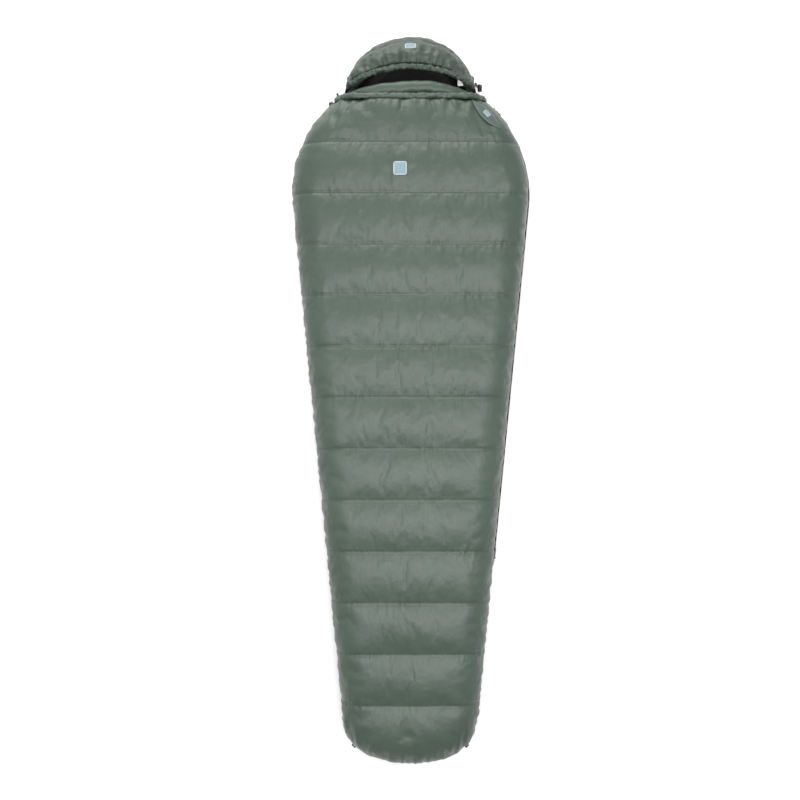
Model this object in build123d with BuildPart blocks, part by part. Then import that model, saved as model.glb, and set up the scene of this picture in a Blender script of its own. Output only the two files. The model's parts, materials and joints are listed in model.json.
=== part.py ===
from build123d import *
import math
import os

os.makedirs("parts", exist_ok=True)

# A mummy sleeping bag lying closed on its back: +Y towards the hood, +X to the
# zipped side, +Z up. The origin is under the middle of the bag, on the ground.

# ---- the bag's outline, seen from above
half_length = 1100.0      # from the middle to the end of the hood or the foot
shoulder_r = 360.0        # the round of the shoulders, half the widest width
shoulder_y = 630.0        # centre of that round
foot_half = 212.0         # half width where the taper meets the foot
foot_y = -900.0
foot_corner_r = 130.0
foot_end_r = 367.0        # the shallow round of the foot's end
hood_r = 205.0
hood_y = half_length - hood_r

# ---- the filled bag, seen from the side
loft = 190.0              # height of the closed bag
top_round = 82.0
bottom_round = 70.0
parting_z = 89.0          # where upper and lower fabric are sewn together
seam_gap = 0.3

# ---- fabric layers, from outside in
shell_t = 1.0
layer_gap = 0.2
batt_t = 30.0
lining_t = 1.0
shell_in = shell_t
batt_out = shell_in + layer_gap
batt_in = batt_out + batt_t
lining_out = batt_in + layer_gap
lining_in = lining_out + lining_t

# ---- neck, collar and face opening
neck_y = 899.0            # upper neck edge of the bag
channel_r = 9.3
collar_y = neck_y + channel_r + 0.3
collar_half = 224.0
roll_half = 135.0
roll_depth = 35.0
roll_low = 150.0
roll_round = 14.0
roll_tuck = 0.7           # the roll's round edge sits this far under the channel
brim_cut_r = 380.0        # the hood's face edge is an arc of this radius
brim_cut_y = half_length - 475.0
brim_angle = 16.5

# ---- zip, in a band of the right side wall
zip_low, zip_high = 79.0, 99.0
zip_end_y = -500.0
tape_inset = (0.2, 1.0)
coil_inset = (-0.4, 1.6)
coil_h = 2.3
coil_gap = 1.4
lap = 0.2                 # clearance between tape and fabric edge
tube_inset = (6.0, 30.0)
tube_gap = 0.5

# ---- zip sliders and their pulls
slider_half = 11.0
slider_h = 14.0
slider_outer = (1.6, 3.2)
slider_inner = (3.2, 5.0)
slider_web = 0.8
pin_r = 1.0
pin_out = 5.7
ear_t = 1.5
eye_h = 2.8
eye_r = 2.1
running = 0.05
pull_len = 30.0
pull_w = 9.0
pull_t = 1.4
upper_angle = 45.6        # the upper slider's place on the shoulder round, closed

# ---- the corner that folds back when the zip is open
fold_x = -150.0
fold_gap = 0.2
fold_z = loft + 2.0

# ---- the tab over the zip's top end
tab_angle = 44.5
tab_inset = 44.0
tab_len = 122.0
tab_w = 40.0
tab_t = 1.6
patch_t = 0.7
pad_gap = 0.1

# ---- patches, label and hang loops
chest_patch = (-31.0, 688.0)
patch_size = 44.0
patch_round = 8.0
hood_patch_inset = 47.0
label_size = (16.0, 26.0, 1.0)
label_x, label_z = 150.0, 152.0
loop_angle = 46.0
loop_gap = 0.6
loop_out = 12.0
loop_in = 9.0
loop_t = 1.6
loop_h = 10.0

# ---- drawcords and their locks
cord_r = 1.5
lock_r = 7.0
lock_back, lock_front = -11.0, 9.0
bore_r = 5.5
bore_floor = -9.0
button_r = 5.4
button_back, button_front = -4.0, 13.5
button_travel = 3.5
cord_hole_r = 1.8
spring_wire = 0.45
spring_r = 4.3
spring_turns = 3
spring_end = 0.2

collar_way = [            # y is measured from the channel's centre line
    (-230.8, 0, 100), (-230.8, 0, 92), (-236.5, 1.4, 84), (-243.5, 3.2, 74),
    (-246.1, 3.6, 58), (-246, 3.6, 40), (-246.2, 3.8, 24), (-244, 9.4, 11),
    (-239, 21.4, 4), (-232, 34.4, 2.8), (-230, 48.4, 3.2),
]
hood_way = [              # y is measured from the hood's centre
    (197.2, 63.8, 104), (205.1, 66.4, 102.5), (211.5, 68.4, 95), (214, 69, 84),
    (214.3, 69, 66), (214.1, 69, 48), (214.3, 69.2, 30), (214, 73, 15),
    (211, 83, 5), (206, 95, 3.2),
]
collar_route = [(x, collar_y + y, z) for x, y, z in collar_way]
hood_route = [(x, hood_y + y, z) for x, y, z in hood_way]
collar_lock_z = 48.0
hood_lock_z = 57.0
knot_r = 3.1
knot_len = 6.0
eyelet_r = 4.5
eyelet_t = 1.5

# ---- derived: where the straight taper leaves the shoulder round
reach = math.hypot(foot_half, shoulder_y - foot_y)
taper_angle = math.atan2(foot_y - shoulder_y, foot_half) + math.acos(shoulder_r / reach)
taper_x = shoulder_r * math.cos(taper_angle)
taper_y = shoulder_y + shoulder_r * math.sin(taper_angle)
taper_run = Vector(taper_x - foot_half, taper_y - foot_y, 0).normalized()
foot_centre_y = foot_end_r - half_length

fold_start = Vector(fold_x, neck_y, 0)
fold_run = (Vector(taper_x, taper_y, 0) - fold_start).normalized()


def draw_body(inset):
    """Tapered outline with round shoulders and a round foot, drawn inset all round."""
    left_corner = (-foot_corner[0], foot_corner[1])
    with BuildSketch() as outline:
        with BuildLine():
            CenterArc((0, shoulder_y), shoulder_r, math.degrees(taper_angle),
                      180 - 2 * math.degrees(taper_angle))
            Line((taper_x, taper_y), foot_corner)
            Line((-taper_x, taper_y), left_corner)
            ThreePointArc(left_corner, (0, -half_length), foot_corner)
        make_face()
        fillet([v for v in outline.vertices() if v.Y < foot_y], foot_corner_r)
        if inset:
            offset(amount=-inset)
    return outline.sketch


def foot_meeting(inset):
    """Where the taper line, moved in and carried on, meets the end's round, as much smaller."""
    run = taper_run
    start_x, start_y = foot_half - inset * run.Y, foot_y + inset * run.X
    ax, ay = start_x, start_y - foot_centre_y
    half_b = ax * run.X + ay * run.Y
    c = ax * ax + ay * ay - (foot_end_r - inset)**2
    step = -half_b - math.sqrt(half_b**2 - c)
    return (start_x + step * run.X, start_y + step * run.Y)


foot_corner = foot_meeting(0)
corner_centre = foot_meeting(foot_corner_r)


def draw_hood(inset):
    with BuildSketch() as outline:
        with Locations((0, hood_y)):
            Circle(hood_r - inset)
    return outline.sketch


def pillow(draw, inset):
    """The filled shape inside one outline, with its upper and lower edges rounded."""
    with BuildPart() as solid:
        with BuildSketch(Plane.XY.offset(inset)):
            add(draw(inset))
        extrude(amount=loft - 2 * inset)
        fillet(solid.edges().group_by(Axis.Z)[-1], top_round - inset)
        fillet(solid.edges().group_by(Axis.Z)[0], bottom_round - inset)
    return solid.part


insets = (0, shell_in, batt_out, batt_in, lining_out, lining_in)
body_at = {inset: pillow(draw_body, inset) for inset in insets}
hood_at = {inset: pillow(draw_hood, inset) for inset in insets}
whole_at = {}
for inset in insets:
    with BuildPart() as whole:
        add(hood_at[inset])
        add(body_at[inset])
    whole_at[inset] = whole.part

big = 3000.0


def block(x, y, z):
    """A box between the given pairs of limits."""
    with BuildPart() as solid:
        with BuildSketch(Plane.XY.offset(z[0])):
            with Locations(((x[0] + x[1]) / 2, (y[0] + y[1]) / 2)):
                Rectangle(x[1] - x[0], y[1] - y[0])
        extrude(amount=z[1] - z[0])
    return solid.part


def fold_zone(side, z):
    """Everything on one side of the fold plane: side 1 is the corner, -1 the rest."""
    plane = Plane(origin=fold_start, x_dir=fold_run, z_dir=(0, 0, 1))
    with BuildPart() as solid:
        with BuildSketch(plane.offset(z[0])):
            with Locations((0, side * (big / 2 + fold_gap))):
                Rectangle(2 * big, big)
        extrude(amount=z[1] - z[0])
    return solid.part


zip_slot = block((0, big), (zip_end_y, neck_y), (zip_low, zip_high))
lower_zone = block((-big, big), (-big, big), (-10, parting_z - seam_gap / 2))
upper_zone = block((-big, big), (-big, neck_y), (parting_z + seam_gap / 2, loft + 10))
corner_zone = fold_zone(1, (0, loft + 10))
rest_zone = fold_zone(-1, (0, loft + 10))
hood_zone = block((-big, big), (0, big), (parting_z + seam_gap / 2, loft + 10))

with BuildPart() as face_cut:
    with BuildSketch(Plane.XY):
        with Locations((0, brim_cut_y)):
            Circle(brim_cut_r)
    extrude(amount=loft + 20)


def finish(builder, name):
    builder.part.label = name
    export_step(builder.part, f"parts/{name}.step")


def soft_layer(name, outer, inner, kind):
    """One fabric or fill layer of the lower bag, the upper bag, its corner or the hood."""
    with BuildPart() as layer:
        if kind == "lower":
            add(whole_at[outer])
            add(whole_at[inner], mode=Mode.SUBTRACT)
            add(lower_zone, mode=Mode.INTERSECT)
            add(zip_slot, mode=Mode.SUBTRACT)
        elif kind == "hood":
            add(hood_at[outer])
            add(hood_at[inner], mode=Mode.SUBTRACT)
            add(hood_zone, mode=Mode.INTERSECT)
            add(face_cut.part, mode=Mode.SUBTRACT)
        else:
            add(body_at[outer])
            add(body_at[inner], mode=Mode.SUBTRACT)
            add(upper_zone, mode=Mode.INTERSECT)
            add(corner_zone if kind == "corner" else rest_zone, mode=Mode.INTERSECT)
            add(zip_slot, mode=Mode.SUBTRACT)
    finish(layer, name)


layers = (("shell", 0, shell_in), ("batt", batt_out, batt_in), ("lining", lining_out, lining_in))
for word, outer, inner in layers:
    soft_layer(f"lower_{word}", outer, inner, "lower")
    soft_layer(f"upper_{word}", outer, inner, "upper")
    soft_layer(f"corner_{word}", outer, inner, "corner")
    soft_layer(f"hood_{word}", outer, inner, "hood")


# ---- strips that follow the side of the bag
def strip(name, inset, z, zones):
    """A band that follows the outline between two insets, kept inside the given zones."""
    with BuildPart() as band:
        with BuildSketch(Plane.XY.offset(z[0])):
            add(draw_body(inset[0]))
        extrude(amount=z[1] - z[0])
        with BuildSketch(Plane.XY.offset(z[0])):
            add(draw_body(inset[1]))
        extrude(amount=z[1] - z[0], mode=Mode.SUBTRACT)
        for zone in zones:
            add(zone, mode=Mode.INTERSECT)
    finish(band, name)


coil_low = (parting_z - coil_gap / 2 - coil_h, parting_z - coil_gap / 2)
coil_high = (parting_z + coil_gap / 2, parting_z + coil_gap / 2 + coil_h)
tape_low = (zip_low + lap, coil_low[0])
tape_high = (coil_high[1], zip_high - lap)
stop_len = 3.0
zip_run = block((0, big), (zip_end_y + stop_len + 1, neck_y - stop_len - 1), (0, loft))
tube_run = block((0, big), (zip_end_y + 0.5, neck_y - 0.5), (0, loft))

strip("lower_zip_tape", tape_inset, tape_low, [zip_run])
strip("lower_zip_coil", coil_inset, coil_low, [zip_run])
strip("upper_zip_tape", tape_inset, tape_high, [zip_run, rest_zone])
strip("upper_zip_coil", coil_inset, coil_high, [zip_run, rest_zone])
strip("corner_zip_tape", tape_inset, tape_high, [zip_run, corner_zone])
strip("corner_zip_coil", coil_inset, coil_high, [zip_run, corner_zone])
strip("draft_tube", tube_inset, (zip_low + tube_gap, zip_high - tube_gap), [tube_run])

piping_run = block((-big, -60), (-big, neck_y - 1), (0, loft))
strip("side_piping", (-0.4, -0.1), (parting_z - 2, parting_z + 2), [piping_run])

stop_low = block((0, big), (neck_y - stop_len - 0.7, neck_y - 0.7), (0, loft))
stop_foot = block((0, big), (zip_end_y + 0.7, zip_end_y + stop_len + 0.7), (0, loft))
strip("corner_zip_stop", coil_inset, (coil_high[0], coil_high[1]), [stop_low])
strip("upper_end_stop", coil_inset, (coil_low[0], coil_low[1]), [stop_low])
strip("foot_end_stop", coil_inset, (coil_low[0], coil_high[1]), [stop_foot])


# ---- zip sliders: the plane's X runs along the zip, Z points out of the bag
def slider(name, place, pull_name, pull_side):
    """Two plates joined by a thin web between the coils, ears with a pin, and a pull."""
    half_h = slider_h / 2
    with BuildPart() as body:
        for low, high in ((slider_outer[0], slider_outer[1]), (-slider_inner[1], -slider_inner[0])):
            with BuildSketch(place.offset(low)):
                RectangleRounded(2 * slider_half, slider_h, 4)
            extrude(amount=high - low)
        with BuildSketch(place.offset(-slider_inner[0])):
            Rectangle(2 * slider_half - 8, slider_web)
        extrude(amount=slider_inner[0] + slider_outer[0])
        for side in (-1, 1):
            with BuildSketch(place.offset(slider_outer[1])):
                with Locations((0, side * (eye_h / 2 + running * 2 + ear_t / 2))):
                    Rectangle(2 * eye_r, ear_t)
            extrude(amount=pin_out - slider_outer[1] + eye_r)
        with BuildSketch(Plane(place.origin + place.z_dir * pin_out
                               - place.y_dir * (eye_h / 2 + running * 2 + ear_t / 2),
                               x_dir=place.x_dir, z_dir=place.y_dir)):
            Circle(pin_r)
        extrude(amount=eye_h + 4 * running + ear_t)
    finish(body, name)

    swing = Plane(place.origin + place.z_dir * pin_out - place.y_dir * (eye_h / 2),
                  x_dir=place.x_dir * pull_side, z_dir=place.y_dir)
    with BuildPart() as pull:
        with BuildSketch(swing):
            Circle(eye_r)
            with Locations((pull_len / 4, 0)):
                Rectangle(pull_len / 2, pull_t)
            Circle(pin_r + running, mode=Mode.SUBTRACT)
        extrude(amount=eye_h)
        with BuildSketch(swing.offset(eye_h / 2 - pull_w / 2)):
            with Locations((pull_len / 2 + 3, 0)):
                Rectangle(pull_len - 8, pull_t)
        extrude(amount=pull_w)
    finish(pull, pull_name)


def slider_place(origin, run):
    """A plane on the outline, X along the zip and Z out of the bag."""
    out = Vector(run.Y, -run.X, 0)
    return Plane(origin=(origin.X, origin.Y, parting_z), x_dir=run, z_dir=out)


upper_at = Vector(shoulder_r * math.cos(math.radians(upper_angle)),
                  shoulder_y + shoulder_r * math.sin(math.radians(upper_angle)), 0)
upper_run = Vector(-math.sin(math.radians(upper_angle)), math.cos(math.radians(upper_angle)), 0)
lower_step = (zip_end_y + stop_len + 1 + slider_half + 2 - foot_y) / taper_run.Y
lower_at = Vector(foot_half, foot_y, 0) + taper_run * lower_step
slider("upper_slider", slider_place(upper_at, upper_run), "upper_pull", -1)
slider("lower_slider", slider_place(lower_at, taper_run), "lower_pull", 1)


# ---- neck: drawcord channel, draft collar and the hood's brim
def neck_channel(name, zone):
    side_z, flat_z = 100.0, loft - channel_r
    bend = top_round - channel_r
    with BuildPart() as channel:
        with BuildLine(Plane.XZ.offset(-collar_y)) as path:
            FilletPolyline((-collar_half, side_z), (-collar_half, flat_z), (collar_half, flat_z),
                           (collar_half, side_z), radius=bend)
        with BuildSketch(Plane((-collar_half, collar_y, side_z), z_dir=(0, 0, 1))):
            Circle(channel_r)
        sweep(path=path.line)
        add(zone, mode=Mode.INTERSECT)
    finish(channel, name)


neck_channel("collar_end", rest_zone)
neck_channel("collar_channel", corner_zone)

with BuildPart() as collar_roll:
    low_y = collar_y + channel_r - roll_tuck
    with BuildSketch(Plane.XY.offset(roll_low)):
        with Locations((0, low_y + roll_depth / 2)):
            Rectangle(2 * roll_half, roll_depth)
    extrude(amount=loft - 2 - roll_low)
    fillet(collar_roll.edges(), roll_round)
    add(corner_zone, mode=Mode.INTERSECT)
finish(collar_roll, "collar_roll")

with BuildPart() as brim_channel:
    brim_r = brim_cut_r - channel_r - 0.3
    brim_z = loft - channel_r
    with BuildLine(Plane.XY.offset(brim_z)) as brim_path:
        CenterArc((0, brim_cut_y), brim_r, 90 - brim_angle, 2 * brim_angle)
    with BuildSketch(Plane(brim_path.line @ 0, z_dir=brim_path.line % 0)):
        Circle(channel_r)
    sweep(path=brim_path.line)
finish(brim_channel, "brim_channel")


# ---- the tab over the zip's top end, and its hook and loop patches
def slope_plane(centre, toward, inset):
    """Tangent plane of the upper rounded edge at an inset from a round outline."""
    lean = math.asin((top_round - inset) / top_round)
    normal = toward * math.sin(lean) + Vector(0, 0, math.cos(lean))
    height = loft - top_round + top_round * math.cos(lean)
    origin = Vector(centre.X, centre.Y, height)
    along = Vector(-toward.Y, toward.X, 0)
    return Plane(origin=origin, x_dir=along, z_dir=normal)


tab_out = Vector(math.cos(math.radians(tab_angle)), math.sin(math.radians(tab_angle)), 0)
tab_at = Vector(0, shoulder_y, 0) + tab_out * (shoulder_r - tab_inset)
tab_plane = slope_plane(tab_at, tab_out, tab_inset)
loop_z = pad_gap
hook_z = loop_z + patch_t + pad_gap
tab_z = hook_z + patch_t


with BuildPart() as zip_tab:
    with BuildSketch(tab_plane.offset(tab_z)):
        with BuildLine():
            ThreePointArc((-tab_len / 2, 0), (0, tab_w / 2), (tab_len / 2, 0))
            ThreePointArc((tab_len / 2, 0), (0, -tab_w / 2), (-tab_len / 2, 0))
        make_face()
    extrude(amount=tab_t)
finish(zip_tab, "zip_tab")

with BuildPart() as tab_hooks:
    with BuildSketch(tab_plane.offset(hook_z)):
        RectangleRounded(50, 16, 4)
    extrude(amount=patch_t)
finish(tab_hooks, "tab_hooks")

with BuildPart() as tab_loops:
    with BuildSketch(tab_plane.offset(loop_z)):
        RectangleRounded(50, 16, 4)
    extrude(amount=patch_t)
finish(tab_loops, "tab_loops")

# ---- plain patches on chest and hood, and the care label inside the neck
with BuildPart() as chest_badge:
    with BuildSketch(Plane.XY.offset(loft + pad_gap)):
        with Locations(chest_patch):
            RectangleRounded(patch_size, patch_size, patch_round)
    extrude(amount=patch_t)
finish(chest_badge, "chest_badge")

hood_badge_at = Vector(0, half_length - hood_patch_inset, 0)
hood_plane = slope_plane(hood_badge_at, Vector(0, 1, 0), hood_patch_inset)
with BuildPart() as hood_badge:
    with BuildSketch(hood_plane.offset(pad_gap)):
        RectangleRounded(patch_size * 0.8, patch_size * 0.5, patch_round * 0.6)
    extrude(amount=patch_t)
finish(hood_badge, "hood_badge")

with BuildPart() as care_label:
    edge_x = label_x + label_size[0] / 2
    label_y = brim_cut_y + math.sqrt(brim_cut_r**2 - edge_x**2) - seam_gap - label_size[1] / 2
    with BuildSketch(Plane.XY.offset(label_z)):
        with Locations((label_x, label_y)):
            Rectangle(label_size[0], label_size[1])
    extrude(amount=label_size[2])
finish(care_label, "care_label")


# ---- webbing hang loops at the corners of the foot
for side, word in ((-1, "left"), (1, "right")):
    turn = -loop_angle if side > 0 else 180 + loop_angle
    loop_x = corner_centre[0] + (foot_corner_r + loop_gap) * math.cos(math.radians(loop_angle))
    loop_y = corner_centre[1] - (foot_corner_r + loop_gap) * math.sin(math.radians(loop_angle))
    root = (side * loop_x, loop_y, parting_z - loop_h / 2)
    with BuildPart() as webbing_loop:
        with BuildSketch(Plane(root).rotated((0, 0, turn))):
            with Locations((loop_out / 2, 0)):
                Rectangle(loop_out, loop_in + 2 * loop_t)
            with Locations(((loop_out - loop_t) / 2, 0)):
                Rectangle(loop_out - loop_t, loop_in, mode=Mode.SUBTRACT)
        extrude(amount=loop_h)
    finish(webbing_loop, f"{word}_hang_loop")


# ---- drawcords: straight runs joined by arcs that are as large as the runs allow
def corner_radii(points):
    radii = []
    for a, b, c in zip(points, points[1:], points[2:]):
        first, second = Vector(*b) - Vector(*a), Vector(*c) - Vector(*b)
        half_turn = math.radians(first.get_angle(second)) / 2
        radii.append(0.45 * min(first.length, second.length) / math.tan(half_turn))
    return radii


def drawcord(name, route):
    radii = corner_radii(route)
    with BuildPart() as cord:
        with BuildLine() as path:
            FilletPolyline(*route, radius=radii)
        with BuildSketch(Plane(path.line @ 0, z_dir=path.line % 0)):
            Circle(cord_r)
        sweep(path=path.line)
    finish(cord, name)


def cord_knot(name, route):
    """A plain knot at the far end of a drawcord, face to face with it."""
    end = Vector(*route[-1])
    run = (end - Vector(*route[-2])).normalized()
    with BuildPart() as knot:
        with BuildSketch(Plane(end, z_dir=run)):
            Circle(knot_r)
        extrude(amount=knot_len)
        fillet(knot.edges().filter_by(GeomType.CIRCLE), knot_r * 0.6)
    finish(knot, name)


def cord_lock(name, route, height):
    """Barrel with a cross hole for the cord, a sprung button and its spring."""
    low, high = next((b, a) for a, b in zip(route, route[1:]) if b[2] <= height < a[2])
    part_way = (height - low[2]) / (high[2] - low[2])
    at = Vector(*low) + (Vector(*high) - Vector(*low)) * part_way
    across = Plane((at.X, at.Y, at.Z), x_dir=(1, 0, 0), z_dir=(0, 1, 0))
    with BuildPart() as barrel:
        with BuildSketch(across.offset(lock_back)):
            Circle(lock_r)
        extrude(amount=lock_front - lock_back)
        fillet(barrel.edges().filter_by(GeomType.CIRCLE), 1.2)
        with BuildSketch(across.offset(bore_floor)):
            Circle(bore_r)
        extrude(amount=lock_front - bore_floor + 1, mode=Mode.SUBTRACT)
        with BuildSketch(Plane((at.X, at.Y, at.Z - lock_r - 1))):
            SlotOverall(2 * cord_hole_r + 1.6, 2 * cord_hole_r)
        extrude(amount=2 * lock_r + 2, mode=Mode.SUBTRACT)
    finish(barrel, f"{name}_barrel")

    with BuildPart() as button:
        with BuildSketch(across.offset(button_back)):
            Circle(button_r)
        extrude(amount=button_front - button_back)
        fillet(button.edges().group_by(Axis.Y)[-1], 1.5)
        with BuildSketch(Plane((at.X, at.Y + button_travel / 2, at.Z - lock_r - 1))):
            Rectangle(2 * cord_hole_r + 1.6, 2 * cord_hole_r + button_travel)
        extrude(amount=2 * lock_r + 2, mode=Mode.SUBTRACT)
    finish(button, f"{name}_button")

    room = button_back - bore_floor - 2 * spring_wire - 2 * spring_end
    foot = at + Vector(0, bore_floor + spring_wire + spring_end, 0)
    with BuildPart() as spring:
        with BuildLine() as turns:
            Helix(room / spring_turns, room, spring_r, center=foot, direction=(0, 1, 0))
        with BuildSketch(Plane(turns.line @ 0, z_dir=turns.line % 0)):
            Circle(spring_wire)
        sweep(path=turns.line, is_frenet=True)
    finish(spring, f"{name}_spring")


eyelet_out = Vector(hood_route[0][0], hood_route[0][1] - hood_y, 0).normalized()
with BuildPart() as hood_eyelet:
    eyelet_at = Vector(0, hood_y, hood_route[0][2]) + eyelet_out * (hood_r + seam_gap)
    with BuildSketch(Plane(eyelet_at, z_dir=eyelet_out)):
        Circle(eyelet_r)
    extrude(amount=eyelet_t)
finish(hood_eyelet, "hood_eyelet")

drawcord("collar_cord", collar_route)
drawcord("hood_cord", hood_route)
cord_knot("collar_knot", collar_route)
cord_knot("hood_knot", hood_route)
cord_lock("collar_lock", collar_route, collar_lock_z)
cord_lock("hood_lock", hood_route, hood_lock_z)
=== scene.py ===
import bmesh
import bpy
import json
import math
import numpy as np
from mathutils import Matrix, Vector, noise
from mathutils.bvhtree import BVHTree


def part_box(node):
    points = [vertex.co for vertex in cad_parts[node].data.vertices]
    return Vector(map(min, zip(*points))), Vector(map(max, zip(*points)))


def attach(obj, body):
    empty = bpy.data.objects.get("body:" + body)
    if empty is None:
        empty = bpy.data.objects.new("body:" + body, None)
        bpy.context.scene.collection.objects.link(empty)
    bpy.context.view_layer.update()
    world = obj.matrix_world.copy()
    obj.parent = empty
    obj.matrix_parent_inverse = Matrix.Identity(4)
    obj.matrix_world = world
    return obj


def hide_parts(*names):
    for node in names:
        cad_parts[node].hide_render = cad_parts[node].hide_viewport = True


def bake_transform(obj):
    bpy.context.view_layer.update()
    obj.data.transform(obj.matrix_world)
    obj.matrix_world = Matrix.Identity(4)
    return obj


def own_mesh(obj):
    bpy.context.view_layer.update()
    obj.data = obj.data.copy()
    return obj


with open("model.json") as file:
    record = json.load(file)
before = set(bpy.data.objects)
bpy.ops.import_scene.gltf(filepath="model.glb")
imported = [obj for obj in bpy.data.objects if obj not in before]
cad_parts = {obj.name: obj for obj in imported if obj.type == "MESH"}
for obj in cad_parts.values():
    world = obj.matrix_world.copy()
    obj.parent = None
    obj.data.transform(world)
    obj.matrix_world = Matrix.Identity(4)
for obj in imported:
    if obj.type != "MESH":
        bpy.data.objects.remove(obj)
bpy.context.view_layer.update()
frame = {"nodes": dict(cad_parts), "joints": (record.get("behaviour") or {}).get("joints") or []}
print("frame loaded")

# the bag's outline and side profile, in metres, as the frame has them
lowBox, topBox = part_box("lower_shell"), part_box("upper_shell")
shape = {
    "halfLength": lowBox[1][1], "shoulderR": lowBox[1][0], "shoulderY": 0.63,
    "footHalf": 0.212, "footY": -0.9, "cornerR": 0.13, "endR": 0.367, "hoodR": 0.205,
    "loft": topBox[1][2], "topRound": 0.082, "lowRound": 0.07, "parting": 0.089,
    "neckY": 0.899, "brimR": 0.38, "brimY": 0.625, "zipFoot": -0.5, "zipEdge": 0.01,
    "wall": 0.0305,
}
quilt = {
    "seamY": 0.006, "pitch": 0.153, "first": -6, "last": 5,
    "puff": 0.0075, "sink": 0.0035, "edge": 0.075, "pucker": 0.0034, "puckerReach": 0.013,
    "fold": 0.004, "across": 191, "rowStep": 0.0051, "edgeReach": 0.2, "seed": 7,
}
halfLength, shoulderR, shoulderY = shape["halfLength"], shape["shoulderR"], shape["shoulderY"]
hoodY = halfLength - shape["hoodR"]
footCentre = shape["endR"] - halfLength
reach = math.hypot(shape["footHalf"], shoulderY - shape["footY"])
taperAngle = (math.atan2(shape["footY"] - shoulderY, shape["footHalf"])
              + math.acos(shoulderR / reach))
taperX, taperY = shoulderR * math.cos(taperAngle), shoulderY + shoulderR * math.sin(taperAngle)
runX, runY = -math.sin(taperAngle), math.cos(taperAngle)


def meeting(inset):
    startX = shape["footHalf"] - inset * runY
    startY = shape["footY"] + inset * runX - footCentre
    half = startX * runX + startY * runY
    step = -half - math.sqrt(half ** 2 - startX ** 2 - startY ** 2 + (shape["endR"] - inset) ** 2)
    return startX + step * runX, startY + step * runY + footCentre


cornerX, cornerY = meeting(shape["cornerR"])


def bodyHalf(y, t):
    # half width of the body's outline, moved in by t, at y
    r = shoulderR - t
    onRound = y > shoulderY + r * math.sin(taperAngle)
    line = taperX + (y - taperY) * runX / runY - t / runY
    return np.where(onRound, np.sqrt(np.maximum(r * r - (y - shoulderY) ** 2, 0)), line)


def hoodHalf(y, t):
    return np.sqrt(np.maximum((shape["hoodR"] - t) ** 2 - (y - hoodY) ** 2, 0))


class Profile:
    # distance along the fabric from the side seam, to inset and height
    def __init__(self, radius, up):
        self.radius, self.up = radius, up
        self.wall = abs((shape["loft"] - radius if up else radius) - shape["parting"])
        self.full = self.wall + radius * math.pi / 2
        self.grow = self.full - radius

    def at(self, q):
        angle = np.clip((q - self.wall) / self.radius, 0, math.pi / 2)
        flat = np.maximum(q - self.full, 0)
        t = self.radius * (1 - np.cos(angle)) + flat
        rise = np.minimum(q, self.wall) + self.radius * np.sin(angle)
        return t, shape["parting"] + (rise if self.up else -rise)


topSide, lowSide = Profile(shape["topRound"], True), Profile(shape["lowRound"], False)


def resample(points, count):
    steps = np.linalg.norm(np.diff(points, axis=0), axis=1)
    along = np.concatenate([[0], np.cumsum(steps)])
    want = np.linspace(0, along[-1], count)
    return np.stack([np.interp(want, along, points[:, k]) for k in range(3)], axis=1)


def crossRow(side, y, halfOf, rightStart, count):
    # one row of the fabric straight across the bag
    slant = runX * np.clip((0.75 - y) / 0.2, 0, 1)
    halves = []
    for start in (0.0, rightStart):
        q = np.linspace(start, side.full, 70)
        t, z = side.at(q)
        rowY = y + slant * (side.grow + t - q)
        halves.append(np.stack([halfOf(rowY, t), rowY, z], axis=1))
    left = halves[0] * [-1, 1, 1]
    keepLeft = left[left[:, 0] < -0.002] if (left[:, 0] < -0.002).any() else left
    keepRight = halves[1][halves[1][:, 0] > 0.002]
    return resample(np.vstack([keepLeft, keepRight[::-1]]), count)


def footReal(side, px, py):
    # a point of the flattened foot, put back on the rounded foot
    grow = side.grow
    sx = np.abs(px)
    dLine = (taperX + grow * runY - sx) * runY + (py - taperY + grow * runX) * runX
    ex, ey = px, py - footCentre
    eLen = np.hypot(ex, ey)
    dEnd = shape["endR"] + grow - eLen
    big = shape["cornerR"] + grow
    cx, cy = sx - cornerX, py - cornerY
    cLen = np.maximum(np.hypot(cx, cy), 1e-9)
    inCorner = (cx * runX + cy * runY < 0) & (cornerX * cy > (cornerY - footCentre) * cx)
    q = np.where(inCorner, big - cLen, np.minimum(dLine, dEnd))
    useLine = dLine < dEnd
    nx = np.where(inCorner, -cx / cLen, np.where(useLine, -runY, -ex / eLen * np.sign(px + 1e-12)))
    ny = np.where(inCorner, -cy / cLen, np.where(useLine, runX, -ey / eLen))
    q = np.clip(q, 0, None)
    t, z = side.at(q)
    move = np.where(q < side.full, grow + t - q, 0)
    return np.stack([px + nx * np.sign(px + 1e-12) * move, py + ny * move, z], axis=1), q


def hoodReal(side, px, py):
    grow = side.grow
    dist = np.maximum(np.hypot(px, py - hoodY), 1e-9)
    q = np.clip(shape["hoodR"] + grow - dist, 0, None)
    t, z = side.at(q)
    move = np.where(q < side.full, grow + t - q, 0)
    return np.stack([px - px / dist * move, py - (py - hoodY) / dist * move, z], axis=1), q


def along2(points, count):
    flat = np.column_stack([points, np.zeros(len(points))])
    return resample(flat, count)[:, :2]


def footOutline(grow, y0):
    # the right half of the grown outline, from the row at y0 to the middle of the foot
    x0 = taperX + grow * runY + (y0 + grow * runX - taperY) * runX / runY
    a0 = math.atan2(-runX, runY)
    a1 = math.atan2(cornerY - footCentre, cornerX)
    arc = np.linspace(a0, a1, 40)
    big = shape["cornerR"] + grow
    corner = np.stack([cornerX + big * np.cos(arc), cornerY + big * np.sin(arc)], axis=1)
    arc = np.linspace(a1, -math.pi / 2, 50)[1:]
    wide = shape["endR"] + grow
    end = np.stack([wide * np.cos(arc), footCentre + wide * np.sin(arc)], axis=1)
    return np.vstack([[[x0, y0]], corner, end])


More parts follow.
